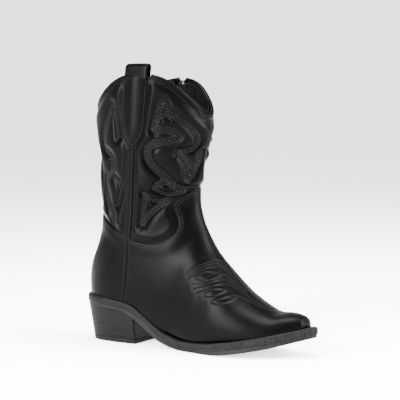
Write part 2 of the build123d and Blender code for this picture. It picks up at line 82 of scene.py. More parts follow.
SHAFT_EDGE = [(30, 172), (0, 170), (-8, 164.5), (-20, 155.5), (-19.5, 146), (-14.5, 134), (-15.5, 124.5),
              (-21.5, 117), (-31, 112), (-44, 110), (-57, 111.8), (-69.5, 115.8), (-83, 122.5),
              (-95, 129), (-106, 135), (-117, 140.5), (-150, 150)]
SIDE_SEAM = [(-77, 30), (-75.5, 53), (-72.5, 81), (-70, 113), (-67, 135), (-64, 164), (-60, 199),
             (-55, 232), (-51.5, 255), (-48, 285), (-46, 305)]
SOLE_OUTLINE = [(-137.5, 0), (-134, -13.5), (-124.5, -25), (-105, -31.5), (-75, -32.5), (-45, -32.5),
                (-15, -34), (15, -39.5), (40, -44.5), (62, -44), (88, -38), (108, -28.3), (124, -17.5),
                (133.5, -8), (137.3, 0), (133.5, 7.5), (124, 15.8), (108, 25), (88, 33.5), (62, 40.5),
                (40, 42), (15, 38.5), (-15, 32.5), (-45, 31), (-75, 31.5), (-105, 31), (-124.5, 25),
                (-134, 13.5)]
ZIP_TOP = np.array((-49.5, 49.6, 281.0))
ZIP_BOTTOM = np.array((-68.5, 32.6, 92.0))
LEATHER = 1.4
WALL = 4.6
TOP_ROW = 18.97
SHAFT_ROW = 8.6
ZIP_FOOT = 86.0
WELT_THICK = 7.6
STRAP_HALF = 13.6
STRAP_LINE = [(-58.0, 213.0), (-46.5, 300.0)]
NOSE_REACH = np.array((1.6, 0, 0.1))


def smooth_step(x, low, high):
    s = np.clip((x - low) / (high - low), 0, 1)
    return s * s * (3 - 2 * s)


def least(*fields):
    return functools.reduce(np.minimum, fields)


def unit(v):
    return v / (np.linalg.norm(v, axis=-1, keepdims=True) + 1e-12)


def lengths(line):
    """The distance run along a polyline at each of its points."""
    return np.concatenate([[0], np.cumsum(np.linalg.norm(np.diff(line, axis=0), axis=1))])


def runs_of(flags):
    """Lists of neighbouring places where the flags hold."""
    runs, run = [], []
    for k, good in enumerate(list(flags) + [False]):
        if good:
            run.append(k)
        elif run:
            runs.append(run)
            run = []
    return runs


def spline(a, b, c, d, u):
    """A Catmull-Rom curve from b to c."""
    return b + 0.5 * ((c - a) * u + (2 * a - 5 * b + 4 * c - d) * u * u + (3 * b - a - 3 * c + d) * u ** 3)


def catmull(points, per=12, closed=False):
    """A smooth dense polyline through points."""
    p = np.array(points, float)
    n = len(p)
    out = []
    for i in range(n if closed else n - 1):
        if closed:
            a, b, c, d = p[i - 1], p[i], p[(i + 1) % n], p[(i + 2) % n]
        else:
            a, b, c, d = p[max(i - 1, 0)], p[i], p[i + 1], p[min(i + 2, n - 1)]
        out += [spline(a, b, c, d, k / per) for k in range(per)]
    if not closed:
        out.append(p[-1])
    return np.array(out)


def resample(line, step=1.0, closed=False, count=None):
    """The same polyline with points a fixed distance apart, and the distance used."""
    if closed:
        line = np.vstack([line, line[:1]])
    dist = lengths(line)
    count = count or max(int(round(dist[-1] / step)), 2)
    at = np.linspace(0, dist[-1], count + 1)
    out = np.stack([np.interp(at, dist, line[:, k]) for k in range(line.shape[1])], axis=1)
    return (out[:-1] if closed else out), dist[-1] / count


def rows_at(t):
    """The section's measures at a place between the stations."""
    t = np.clip(np.asarray(t, float), 0, LAST_ROW - 1e-9)
    i = np.minimum(t.astype(int), LAST_ROW - 1)
    before, after = np.maximum(i - 1, 0), np.minimum(i + 2, LAST_ROW)
    return spline(STATIONS[before], STATIONS[i], STATIONS[i + 1], STATIONS[after], (t - i)[..., None])


def middle_at(t):
    row = rows_at(t)
    x, z = (row[..., 0] + row[..., 2]) / 2, (row[..., 1] + row[..., 3]) / 2
    return np.stack([x, 0 * x, z], axis=-1)


def on_last(t, angle, inset=0.0):
    """Points of the last's surface: angle 0 inner side, pi/2 front, pi outer side."""
    t, angle = np.broadcast_arrays(np.asarray(t, float), np.asarray(angle, float))
    row = rows_at(t)
    lx, lz, ux, uz, outer, inner, share, r_up, r_low = [row[..., k] for k in range(9)]
    height = np.hypot(ux - lx, uz - lz)
    dx, dz = (ux - lx) / height, (uz - lz) / height
    widest = share * height
    c, s = np.cos(angle), np.sin(angle)
    half = np.where(c >= 0, inner, outer) - inset
    power = 2 / np.where(s >= 0, r_up, r_low)
    y = half * np.sign(c) * np.abs(c) ** power
    reach = np.where(s >= 0, height - inset - widest, widest - inset)
    h = widest + np.sign(s) * reach * np.abs(s) ** power
    return np.stack([lx + dx * h, y, lz + dz * h], axis=-1)


def even_angles(t, low, high, cols, inset=0.0):
    """For each station, angles that are evenly spaced along the section."""
    share = np.linspace(0, 1, 60)[:-1]
    ease = np.where(share < 0.5, 4 * share ** 3, 1 - 4 * (1 - share) ** 3)
    quarter = math.pi / 2
    start, stop = math.floor(low / quarter), math.ceil(high / quarter)
    fine = np.concatenate([(q + ease) * quarter for q in range(start, stop)] + [[stop * quarter]])
    fine = np.unique(np.concatenate([fine[(fine > low) & (fine < high)], [low, high]]))
    out = np.empty((len(t), cols))
    for k, value in enumerate(t):
        dist = lengths(on_last(np.full(fine.shape, value), fine, inset))
        out[k] = np.interp(np.linspace(0, dist[-1], cols), dist, fine)
    return out


class Grid:
    """A patch of the last's surface with outward normals; nose rows close it at the toe's tip."""

    def __init__(self, t_low, t_high, rows, low, high, cols, inset=0.0, nose=0):
        t = np.linspace(t_low, t_high, rows)
        self.angle = even_angles(t, math.radians(low), math.radians(high), cols, inset)
        self.t = np.repeat(t[:, None], cols, axis=1)
        self.p = on_last(self.t, self.angle, inset)
        surface = on_last(self.t, self.angle)
        if nose:
            ring = self.p[0]
            heart = ring.mean(axis=0)
            ahead = [heart + (ring - heart) * share + NOSE_REACH * (1 - share ** 2)
                     for share in np.linspace(0.02, 1, nose, endpoint=False)]
            self.p = surface = np.concatenate([np.array(ahead), self.p])
            self.t = np.concatenate([self.t[:1].repeat(nose, 0), self.t])
            self.angle = np.concatenate([self.angle[:1].repeat(nose, 0), self.angle])
        n = unit(np.cross(np.gradient(surface, axis=1), np.gradient(surface, axis=0)))
        facing = np.sign(((self.p - middle_at(self.t)) * n).sum(-1)).mean()
        self.n = n * facing
        self.flip = facing < 0


# ---- fields over a surface
def area_distance(points, area):
    """Signed side-view distance to a closed outline: positive inside it."""
    x, z = points[..., 0].ravel(), points[..., 2].ravel()
    best = np.full(x.shape, 1e9)
    inside = np.zeros(x.shape, bool)
    for (ax, az), (bx, bz) in zip(area, np.roll(area, -1, axis=0)):
        ex, ez = bx - ax, bz - az
        long = ex * ex + ez * ez
        if long < 1e-12:
            continue
        u = np.clip(((x - ax) * ex + (z - az) * ez) / long, 0, 1)
        best = np.minimum(best, (x - ax - u * ex) ** 2 + (z - az - u * ez) ** 2)
        crosses = (az > z) != (bz > z)
        at = ax + (z - az) * ex / (ez if ez else 1e-12)
        inside ^= crosses & (x < at)
    out = np.sqrt(best) * np.where(inside, 1, -1)
    return out.reshape(points.shape[:-1])


def closed_area(curve, *corners):
    return np.vstack([catmull(curve, 8), np.array(corners, float)])


tongue = catmull(SHAFT_EDGE[:4], 8)
lobe = catmull(SHAFT_EDGE[3:], 8)
SHAFT_AREA = np.vstack([tongue[:-1], lobe, [(-220, 150), (-220, 420), (60, 420), (60, 172)]])
TOP_OUTER_AREA = closed_area(TOPLINE_OUTER, (-220, 250), (-220, -60), (220, -60), (220, 244.5))
TOP_INNER_AREA = closed_area(TOPLINE_INNER, (-220, 250), (-220, -60), (220, -60), (220, 244.5))
ABOVE_FEATHER = closed_area(FEATHER, (220, 32.5), (220, 420), (-220, 420), (-220, 51))
SEAM_AREA = closed_area(SIDE_SEAM, (-46, 420), (260, 420), (260, -60), (-77, -60))


def strap_centre(z):
    """Where the pull strap's centre line runs at a height."""
    (tip_x, tip_z), (top_x, top_z) = STRAP_LINE
    return tip_x + (z - tip_z) / (top_z - tip_z) * (top_x - tip_x)


def strap_area():
    """Side-view outline of the pull strap's outer leg: straight sides and a pointed round end."""
    tip_z = STRAP_LINE[0][1]
    shoulder, end = 240.0, 330.0
    left, right = [], []
    for share in np.linspace(0, 1, 20):
        width = STRAP_HALF * math.sqrt(1 - share ** 1.9)
        z = shoulder + share * (tip_z - shoulder)
        left.append((strap_centre(z) - width, z))
        right.insert(0, (strap_centre(z) + width, z))
    top = [(strap_centre(end) - STRAP_HALF, end), (strap_centre(end) + STRAP_HALF, end)]
    return np.array(top[:1] + left + right[1:] + top[1:])


STRAP_AREA = strap_area()


def zip_gap(p):
    """Side-view distance forward of the zip's line."""
    along = (p[..., 2] - ZIP_BOTTOM[2]) / (ZIP_TOP[2] - ZIP_BOTTOM[2])
    line_x = ZIP_BOTTOM[0] + along * (ZIP_TOP[0] - ZIP_BOTTOM[0])
    return (p[..., 0] - line_x) * 0.995


def strap_gap(p):
    """Side-view distance outside the pull strap, on the outer side."""
    return np.where(p[..., 1] < 0, -area_distance(p, STRAP_AREA), FAR)


def edge_field(p):
    return area_distance(p, SHAFT_AREA)


def top_field(p):
    outer, inner = area_distance(p, TOP_OUTER_AREA), area_distance(p, TOP_INNER_AREA)
    mix = smooth_step(p[..., 1], -6, 6)
    return outer * (1 - mix) + inner * mix


def front_field(p):
    """Positive in front of the side seam (outer side) or of the zip's line (inner side)."""
    return np.where(p[..., 1] < 0, area_distance(p, SEAM_AREA), zip_gap(p))


def slot_field(p):
    """Positive outside the zip's opening in the leather."""
    side = np.abs(zip_gap(p)) - 6.0
    below = (ZIP_BOTTOM[2] - 2.0) - p[..., 2]
    return np.where(p[..., 1] > 0, np.maximum(side, below), FAR)


# ---- meshes
def make_object(name, verts, faces, material, uvs=None):
    name = name.replace(" ", "_")
    mesh = bpy.data.meshes.new(name)
    mesh.from_pydata([tuple(v) for v in np.asarray(verts) * MM], [], faces)
    mesh.update()
    obj = bpy.data.objects.new(name, mesh)
    bpy.context.scene.collection.objects.link(obj)
    mesh.polygons.foreach_set("use_smooth", [True] * len(mesh.polygons))
    if uvs is not None:
        layer = mesh.uv_layers.new(name="UVMap")
        index = np.empty(len(mesh.loops), int)
        mesh.loops.foreach_get("vertex_index", index)
        layer.data.foreach_set("uv", np.asarray(uvs, float)[index].ravel())
    mesh.materials.append(material)
    return obj


def face_outwards(obj, close=False):
    """Turn all faces outwards, and close open ends first if asked to."""
    edit = bmesh.new()
    edit.from_mesh(obj.data)
    if close:
        bmesh.ops.holes_fill(edit, edges=edit.edges, sides=0)
    bmesh.ops.recalc_face_normals(edit, faces=edit.faces)
    edit.to_mesh(obj.data)
    edit.free()


def clip_grid(field):
    """Triangles of a grid where field >= 0: the mixes of corners, the triangles and the border edges."""
    rows, cols = field.shape
    f = field.ravel()
    index = np.arange(rows * cols).reshape(rows, cols)
    a, b = index[:-1, :-1].ravel(), index[:-1, 1:].ravel()
    c, d = index[1:, 1:].ravel(), index[1:, :-1].ravel()
    tris = np.concatenate([np.stack([a, b, c], 1), np.stack([a, c, d], 1)])
    inside = f >= 0
    count = inside[tris].sum(1)
    new_ids, mixes = {}, []

    def cut(i, j):
        key = (i, j) if i < j else (j, i)
        if key not in new_ids:
            u = f[key[0]] / (f[key[0]] - f[key[1]])
            new_ids[key] = rows * cols + len(mixes)
            mixes.append((key[0], key[1], min(max(u, 0.02), 0.98)))
        return new_ids[key]

    faces, border = [tuple(t) for t in tris[count == 3].tolist()], []
    for tri in tris[(count == 1) | (count == 2)].tolist():
        ins = [bool(inside[v]) for v in tri]
        alone = sum(ins) == 1
        k = ins.index(alone)
        v, w, x = tri[k], tri[(k + 1) % 3], tri[(k + 2) % 3]
        p, q = cut(v, w), cut(v, x)
        faces += [(v, p, q)] if alone else [(p, w, x), (p, x, q)]
        border.append((p, q) if alone else (q, p))
    return mixes, faces, border


def blend_values(values, mixes):
    flat = values.reshape(-1, values.shape[-1]) if values.ndim == 3 else values.reshape(-1, 1)
    if mixes:
        m = np.array(mixes)
        i, j, u = m[:, 0].astype(int), m[:, 1].astype(int), m[:, 2:3]
        flat = np.vstack([flat, flat[i] * (1 - u) + flat[j] * u])
    return flat


def skin(name, grid, field, relief, material, rim=1.4, inward=False):
    """A trimmed piece of the surface, raised by relief, with its cut edge rolled inwards by rim."""
    mixes, faces, border = clip_grid(field)
    n = unit(blend_values(grid.n, mixes))
    raised = blend_values(grid.p, mixes) + n * blend_values(relief, mixes)
    rows, cols = field.shape
    across, along = lengths(grid.p[rows // 2]), lengths(grid.p[:, cols // 2])
    uv = blend_values(np.stack(np.broadcast_arrays(across[None, :], along[:, None]), -1) * MM, mixes)
    used = sorted({v for edge in border for v in edge})
    verts, uvs, rings = [raised], [uv], []
    for down in (0.35, 1.0):
        start = len(raised) + len(rings) * len(used)
        rings.append({v: start + k for k, v in enumerate(used)})
        verts.append(raised[used] - n[used] * rim * down)
        uvs.append(uv[used] + down * MM)
    upper, lower = rings
    for a, b in border:
        faces.append((b, a, upper[a], upper[b]))
        faces.append((upper[b], upper[a], lower[a], lower[b]))
    if grid.flip != inward:
        faces = [face[::-1] for face in faces]
    kept = sorted({v for face in faces for v in face})
    new_place = {v: k for k, v in enumerate(kept)}
    faces = [tuple(new_place[v] for v in face) for face in faces]
    return make_object(name, np.vstack(verts)[kept], faces, material, uvs=np.vstack(uvs)[kept])


def contour(grid, field, level, relief, allowed, shortest=12.0):
    """Lines on a raised surface where a field has one value: arrays of points and normals."""
    mixes, _, border = clip_grid(field - level)
    if not border:
        return []
    stack = np.concatenate([grid.p, grid.n, relief[..., None], allowed[..., None]], axis=-1)
    values = blend_values(stack, mixes)[field.size:]
    links = {}
    for a, b in border:
        links.setdefault(a - field.size, []).append(b - field.size)
        links.setdefault(b - field.size, []).append(a - field.size)
    seen, lines = set(), []
    for start in [k for k, near in links.items() if len(near) == 1] + list(links):
        if start in seen:
            continue
        chain, ahead = [], [start]
        while ahead:
            chain.append(ahead[0])
            seen.add(ahead[0])
            ahead = [k for k in links[ahead[0]] if k not in seen]
        if len(chain) > 4 and chain[0] in links[chain[-1]]:
            chain.append(chain[0])
        line = values[chain]
        for run in runs_of(line[:, 7] > 0):
            piece = line[run]
            pts = piece[:, :3] + piece[:, 3:6] * piece[:, 6:7]
            if len(run) > 2 and lengths(pts)[-1] > shortest:
                lines.append((pts, piece[:, 3:6]))
    return lines


def stacked(rings, count):
    """Faces of rings that lie one on the other, with both ends closed."""
    faces = []
    for r in range(rings - 1):
        for k in range(count):
            a, b = r * count + k, r * count + (k + 1) % count
            faces.append((a, b, b + count, a + count))
    faces.append(tuple(reversed(range(count))))
    faces.append(tuple((rings - 1) * count + k for k in range(count)))
    return faces


def capsules(name, lines, material, length=2.0, gap=0.8, radius=0.27, lift=0.08, sides=6):
    """Stitches along lines of (points, normals): short rounded threads that dip at both ends."""
    shape = [(-0.5, 0.35, -0.9), (-0.38, 0.95, -0.25), (0, 1.1, 0.25), (0.38, 0.95, -0.25), (0.5, 0.35, -0.9)]
    thread = stacked(len(shape), sides)
    verts, faces = [], []
    turn = np.linspace(0, 2 * math.pi, sides, endpoint=False)
    for points, normal in lines:
        both, step = resample(np.hstack([points, normal]), length + gap)
        pts, nor = both[:, :3], both[:, 3:]
        ahead = unit(np.diff(pts, axis=0))
        up = (nor[:-1] + nor[1:]) / 2
        up = unit(up - ahead * (up * ahead).sum(1, keepdims=True))
        real = length * (step / (length + gap))
        for m, d, u, s in zip((pts[:-1] + pts[1:]) / 2, ahead, up, np.cross(ahead, up)):
            base = len(verts)
            for along, size, rise in shape:
                centre = m + d * (along * real) + u * (lift + rise * radius)
                for w in turn:
                    verts.append(centre + (s * math.cos(w) + u * math.sin(w)) * radius * size)
            faces += [tuple(base + v for v in face) for face in thread]
    return make_object(name, np.array(verts), faces, material)


def tube(name, points, radius, material, sides, squash=1.0):
    """A round cord along points; radius may be one number or one for each point."""
    p = np.asarray(points, float)
    r = np.broadcast_to(np.asarray(radius, float), (len(p),))
    ahead = unit(np.gradient(p, axis=0))
    side = unit(np.cross(ahead, (0, 0, 1.0)))
    high = np.cross(side, ahead)
    turn = np.linspace(0, 2 * math.pi, sides, endpoint=False)[None, :, None]
    ring = side[:, None] * np.cos(turn) * squash + high[:, None] * np.sin(turn)
    verts = (p[:, None] + ring * r[:, None, None]).reshape(-1, 3)
    faces = []
    for k in range(len(p) - 1):
        for s in range(sides):
            a, b = k * sides + s, k * sides + (s + 1) % sides
            faces.append((a, b, b + sides, a + sides))
    faces.append(tuple(range(sides)))
    faces.append(tuple((len(p) - 1) * sides + s for s in reversed(range(sides))))
    return make_object(name, verts, faces, material)


# ---- materials
def shader_of(mat):
    return mat.node_tree.nodes["Principled BSDF"]


def grey(value):
    return (value, value, value)


def link(mat, out, into):
    mat.node_tree.links.new(out, into)


def fill(node, **values):
    """Set a node's inputs, each by its name with _ for a space."""
    for key, value in values.items():
        node.inputs[key.replace("_", " ")].default_value = value


def material(name, color, rough, spec=0.5, metallic=0.0):
    mat = bpy.data.materials.new(name)
    mat.use_nodes = True
    fill(shader_of(mat), Base_Color=(*color, 1), Roughness=rough, Specular_IOR_Level=spec, Metallic=metallic)
    return mat


def coordinates(mat, scale=(1, 1, 1), kind="Object"):
    source = mat.node_tree.nodes.new("ShaderNodeTexCoord")
    mapping = mat.node_tree.nodes.new("ShaderNodeMapping")
    fill(mapping, Scale=scale)
    link(mat, source.outputs[kind], mapping.inputs["Vector"])
    return mapping.outputs["Vector"]


def texture(mat, kind, where, bands=None, **inputs):
    """The one-number output of a procedural texture; bands is the axis that a wave runs along."""
    node = mat.node_tree.nodes.new("ShaderNodeTex" + kind)
    fill(node, **inputs)
    link(mat, where, node.inputs["Vector"])
    if bands:
        node.bands_direction = bands
    if kind == "Voronoi":
        node.feature = "SMOOTH_F1"
        return node.outputs["Distance"]
    return node.outputs["Fac"]


def bump(mat, heights, distance, strength):
    """Heights are (socket, weight) pairs, summed into one bump."""
    total = None
    for socket, weight in heights:
        plus = mat.node_tree.nodes.new("ShaderNodeMath")
        plus.operation = "MULTIPLY_ADD"
        plus.inputs[1].default_value = weight
        plus.inputs[2].default_value = 0
        link(mat, socket, plus.inputs[0])
        if total is not None:
            link(mat, total, plus.inputs[2])
        total = plus.outputs[0]
    node = mat.node_tree.nodes.new("ShaderNodeBump")
    fill(node, Distance=distance, Strength=strength)
    link(mat, total, node.inputs["Height"])
    link(mat, node.outputs["Normal"], shader_of(mat).inputs["Normal"])


def vary_roughness(mat, socket, low, high):
    node = mat.node_tree.nodes.new("ShaderNodeMapRange")
    fill(node, From_Min=0.35, From_Max=0.65, To_Min=low, To_Max=high)
    link(mat, socket, node.inputs["Value"])
    link(mat, node.outputs["Result"], shader_of(mat).inputs["Roughness"])


def tint(mat, socket, dark, light, at=(0.35, 0.65)):
    """Colours between dark and light, following a texture between two of its values."""
    node = mat.node_tree.nodes.new("ShaderNodeValToRGB")
    for stop, place_at, color in zip(node.color_ramp.elements, at, (dark, light)):
        stop.position = place_at
        stop.color = (*color, 1)
    link(mat, socket, node.inputs["Fac"])
    link(mat, node.outputs["Color"], shader_of(mat).inputs["Base Color"])


def leather_material(name, color, rough):
    """Smooth coated leather: fine pebble grain, faint larger unevenness and patchy sheen."""
    mat = material(name, color, rough, spec=0.02)
    where = coordinates(mat)
    pebble = texture(mat, "Voronoi", where, Scale=1500.0)
    fine = texture(mat, "Noise", where, Scale=900.0, Detail=3.0)
    soft = texture(mat, "Noise", where, Scale=70.0, Detail=3.0)
    patch = texture(mat, "Noise", where, Scale=28.0, Detail=4.0)
    bump(mat, [(pebble, 0.35), (fine, 0.25), (soft, 1.2)], 0.00022, 0.55)
    vary_roughness(mat, patch, rough - 0.05, rough + 0.06)
    return mat


def knit_material(name, color, scale=1.0):
    """Fine knitted fabric: crossed ribs with fuzz."""
    mat = material(name, color, 0.92, spec=0.08)
    fill(shader_of(mat), Sheen_Weight=0.06)
    where = coordinates(mat)
    up = texture(mat, "Wave", where, bands="Z", Scale=420.0 * scale, Distortion=1.2)
    side = texture(mat, "Wave", where, bands="X", Scale=420.0 * scale, Distortion=1.2)
    fuzz = texture(mat, "Noise", where, Scale=1200.0, Detail=2.0)
    tone = texture(mat, "Noise", where, Scale=60.0, Detail=4.0)
    bump(mat, [(up, 0.5), (side, 0.5), (fuzz, 0.6)], 0.0002, 0.7)
    tint(mat, tone, [0.75 * c for c in color], [1.25 * c for c in color])
    return mat


def speckled(name, color, rough, scale=700.0, depth=0.0001, metallic=0.0, spec=0.4):
    """A moulded or pressed surface with a fine uneven skin."""
    mat = material(name, color, rough, spec=spec, metallic=metallic)
    where = coordinates(mat)
    fine = texture(mat, "Noise", where, Scale=scale, Detail=4.0)
    broad = texture(mat, "Noise", where, Scale=45.0, Detail=4.0)
    bump(mat, [(fine, 1.0)], depth, 0.8)
    tint(mat, broad, [0.8 * c for c in color], [1.2 * c for c in color])
    vary_roughness(mat, fine, rough - 0.06, rough + 0.08)
    return mat


def edge_material():
    """The sole band's edge: dark grey with fine upright ribs and lighter flecks."""
    mat = material("sole_band_edge", (0.008, 0.008, 0.0078), 0.62, spec=0.04)
    ribs = texture(mat, "Wave", coordinates(mat, kind="UV"), bands="X", Scale=220.0, Distortion=2.5, Detail=2.0)
    fleck = texture(mat, "Noise", coordinates(mat), Scale=520.0, Detail=4.0)
    bump(mat, [(ribs, 0.6), (fleck, 0.8)], 0.0003, 0.8)
    tint(mat, fleck, grey(0.0007), (0.0052, 0.0051, 0.005), at=(0.36, 0.66))
    return mat


def heel_material():
    """Stacked heel: thin level layers, each with its own streaky tone."""
    mat = material("heel_stack", grey(0.003), 0.48, spec=0.04)
    flat = coordinates(mat, (6, 6, 300))
    streaks = texture(mat, "Noise", flat, Scale=2.2, Detail=5.0, Roughness=0.65)
    layers = texture(mat, "Wave", coordinates(mat), bands="Z", Scale=95.0, Distortion=0.35, Detail=1.0)
    bump(mat, [(streaks, 1.3), (layers, 0.5)], 0.00032, 0.9)
    tint(mat, streaks, grey(0.0003), (0.0026, 0.0025, 0.0025), at=(0.35, 0.7))
    vary_roughness(mat, streaks, 0.4, 0.62)
    return mat


def coil_material(name, color, rough, spec=0.5):
    """Thread, moulded coil or lacquer: one colour with a very fine uneven skin."""
    mat = material(name, color, rough, spec=spec)
    fine = texture(mat, "Noise", coordinates(mat), Scale=1500.0, Detail=2.0)
    bump(mat, [(fine, 1.0)], 0.00006, 0.5)
    vary_roughness(mat, fine, rough - 0.05, rough + 0.05)
    return mat


BLACK = (0.0003, 0.0003, 0.00033)
LEATHER_MAT = leather_material("upper_leather", BLACK, 0.38)
SHAFT_MAT = leather_material("shaft_leather", BLACK, 0.39)
STRAP_MAT = leather_material("strap_leather", BLACK, 0.35)
THREAD_MAT = coil_material("thread", (0.0022, 0.0022, 0.0023), 0.4, spec=0.07)
WELT_THREAD_MAT = coil_material("welt_thread", (0.008, 0.0078, 0.0076), 0.6, spec=0.05)
LINING_MAT = knit_material("lining_knit", (0.004, 0.004, 0.0043))
FACING_MAT = leather_material("facing_leather", (0.002, 0.002, 0.0022), 0.5)
TAPE_MAT = knit_material("zip_tape_weave", (0.005, 0.005, 0.0053), 1.6)
TEETH_MAT = coil_material("zip_coil", (0.006, 0.006, 0.0063), 0.35, spec=0.15)
METAL_MAT = coil_material("zip_lacquer", (0.006, 0.006, 0.0063), 0.25, spec=0.3)
EDGE_MAT = edge_material()
TREAD_MAT = speckled("tread_rubber", grey(0.003), 0.6, spec=0.06)
HEEL_MAT = heel_material()
HEEL_SEAT_MAT = speckled("heel_seat", grey(0.0015), 0.5, spec=0.04)
LIFT_MAT = speckled("top_lift_rubber", grey(0.002), 0.58, spec=0.05)
FOAM_MAT = speckled("foam", grey(0.001), 0.95, scale=1600.0, depth=0.0003, spec=0.01)
BACKING_MAT = knit_material("woven_backing", grey(0.002))
STIFF_MAT = speckled("pressed_stiffener", (0.05, 0.048, 0.045), 0.7)
BOARD_MAT = speckled("fibre_board", (0.35, 0.24, 0.15), 0.85, scale=500.0, depth=0.0002)
SOCK_MAT = knit_material("sock_liner", (0.006, 0.006, 0.0065), 0.7)
STEEL_MAT = speckled("shank_steel", (0.5, 0.5, 0.52), 0.35, metallic=1.0)


def place(obj, slot, *nodes):
    """Let a visible piece ride on the boot and stand in for the named nodes; the slot is not used."""
    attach(obj, "boot")
    if nodes:
        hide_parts(*nodes)


def cover(name, grid, field, relief, mat, slot, *nodes, **cut):
    """Make a trimmed piece of the surface and place it."""
    place(skin(name, grid, field, relief, mat, **cut), slot, *nodes)


def sew(name, lines, slot, mat=THREAD_MAT, **sizes):
    """Make stitches along lines and place them."""
    place(capsules(name, lines, mat, **sizes), slot)


# ---- the stitched pattern
# Channels of the shaft's pattern, as (station, degrees round the section) on the outer side.
FLAME = [(16.94, 160), (17.22, 156.5), (17.55, 150), (17.34, 146), (17.18, 138), (16.88, 125), (16.38, 114),
         (15.78, 108), (15.38, 112), (15.3, 122), (15.48, 135)]
FLAME_FILL = [(17.05, 157), (17.28, 151), (17.16, 142)]
S_BAND = [(16.9, 160), (16.92, 154), (16.82, 145), (16.66, 138), (16.4, 136), (16.32, 144), (16.46, 156),
          (16.4, 164), (16.14, 167), (15.64, 164), (14.9, 154), (13.98, 143), (12.85, 131), (11.85, 118),
          (11.2, 102)]
RIGHT_A = [(15.48, 136), (15.16, 129), (14.6, 121), (13.9, 113), (14.1, 102)]
RIGHT_B = [(15.2, 131), (14.3, 123), (12.9, 114), (13.3, 107), (14.2, 99), (14.9, 101)]
LEAF_A = [(13.86, 157), (14.12, 155), (14.02, 148), (13.49, 139), (12.9, 132)]
LEAF_B = [(13.7, 153), (12.6, 138), (12.05, 127), (11.7, 116)]
CORNER_A = [(14.3, 170), (13.82, 166), (12.95, 164.5), (11.85, 165)]
CORNER_B = [(11.85, 165), (12.19, 158), (12.25, 148), (12.15, 138)]
CORNER_C = [(14.3, 170), (13.5, 160), (12.8, 150), (12.4, 142)]
BACK_A = [(17.66, 202), (17.48, 211), (17.2, 224), (16.9, 224), (16.58, 211), (16.12, 214), (15.96, 226),
          (15.36, 222), (14.54, 211), (13.6, 205), (12.9, 200)]
BACK_B = [(17.66, 202), (17.4, 199.5), (17.0, 198)]
BACK_C = [(16.12, 214), (15.7, 204), (15.2, 200), (14.7, 204)]
BACK_D = [(16.3, 262), (16.9, 250), (16.6, 240), (15.9, 238), (15.2, 250), (14.6, 262)]
CHANNELS = [(FLAME, 3), (FLAME_FILL, 2), (S_BAND, 4), (RIGHT_A, 3), (RIGHT_B, 3), (LEAF_A, 3), (LEAF_B, 2),
            (CORNER_A, 3), (CORNER_B, 3), (CORNER_C, 2), (BACK_A, 3), (BACK_B, 2), (BACK_C, 2), (BACK_D, 3)]
ROW_GAP = 2.3
SMALL_STEP = 0.01


def channel_rows(points, count, mirror):
    """Parallel stitch rows along a channel, as points and normals on the unraised surface."""
    route = catmull(points, 14)
    route[:, 1] = np.radians(route[:, 1])
    if mirror:
        route[:, 1] = math.pi - route[:, 1]
    route, _ = resample(route, 0.004)
    t, angle = route[:, 0], route[:, 1]
    p = on_last(t, angle)
    per_t = (on_last(t + SMALL_STEP, angle) - p) / SMALL_STEP
    per_angle = (on_last(t, angle + SMALL_STEP) - p) / SMALL_STEP
    n = unit(np.cross(per_t, per_angle))
    n *= np.sign(((p - middle_at(t)) * n).sum(1, keepdims=True))
    side = unit(np.cross(np.gradient(p, axis=0), n))
    solver = np.linalg.pinv(np.stack([per_t, per_angle], -1))
    lines = []
    for k in range(count):
        shift = (k - (count - 1) / 2) * ROW_GAP
        move = (solver @ (side * shift)[..., None])[..., 0]
        lines.append((on_last(t + move[:, 0], angle + move[:, 1]), n))
    return lines


def tree_of(points):
    tree = KDTree(len(points))
    for k, point in enumerate(points):
        tree.insert(point, k)
    tree.balance()
    return tree


def nearest(points, samples, reach=30.0):
    """Distance from each point to the nearest sample."""
    tree = tree_of(samples)
    out = np.array([tree.find(v)[2] for v in points.reshape(-1, 3)])
    return np.minimum(out, reach).reshape(points.shape[:-1])


# ---- the shaft
PUFF = 3.1
CHANNEL_DEPTH = 0.45
pattern_lines = [line for mirror in (False, True) for points, count in CHANNELS
                 for line in channel_rows(points, count, mirror)]
pattern_samples = np.vstack([resample(line, 0.6)[0] for line, _ in pattern_lines])


def shaft_relief(p):
    """How far the padded shaft stands out: puffed between the channels, flat near its borders."""
    rows = nearest(p, pattern_samples)
    puff = 1 - (1 - np.clip((rows - 0.8) / 9.5, 0, 1)) ** 2.4
    top, edge = top_field(p), edge_field(p)
    seam = np.abs(front_field(p)) - np.where(p[..., 1] < 0, 3.0, 12.0)
    border = smooth_step(top, 1.0, 13.0) * smooth_step(edge, 0.0, 9.0) * smooth_step(seam, -1.0, 8.0)
    border = border * smooth_step(strap_gap(p), -1.0, 7.0)
    gap = np.exp(-(rows / 0.7) ** 2) * 0.2
    channel = 1 - smooth_step(rows, 0.9, 3.4)
    height = border * (PUFF * puff) - CHANNEL_DEPTH * channel * smooth_step(border, 0.0, 0.3) - gap
    swell = 0.35 * np.sin(p[..., 0] * 0.11 + 1.3) * np.sin(p[..., 2] * 0.085 + 0.4 * np.sign(p[..., 1]))
    roll = 0.55 * np.exp(-((top - 1.6) / 1.6) ** 2)
    return height + swell * border + roll


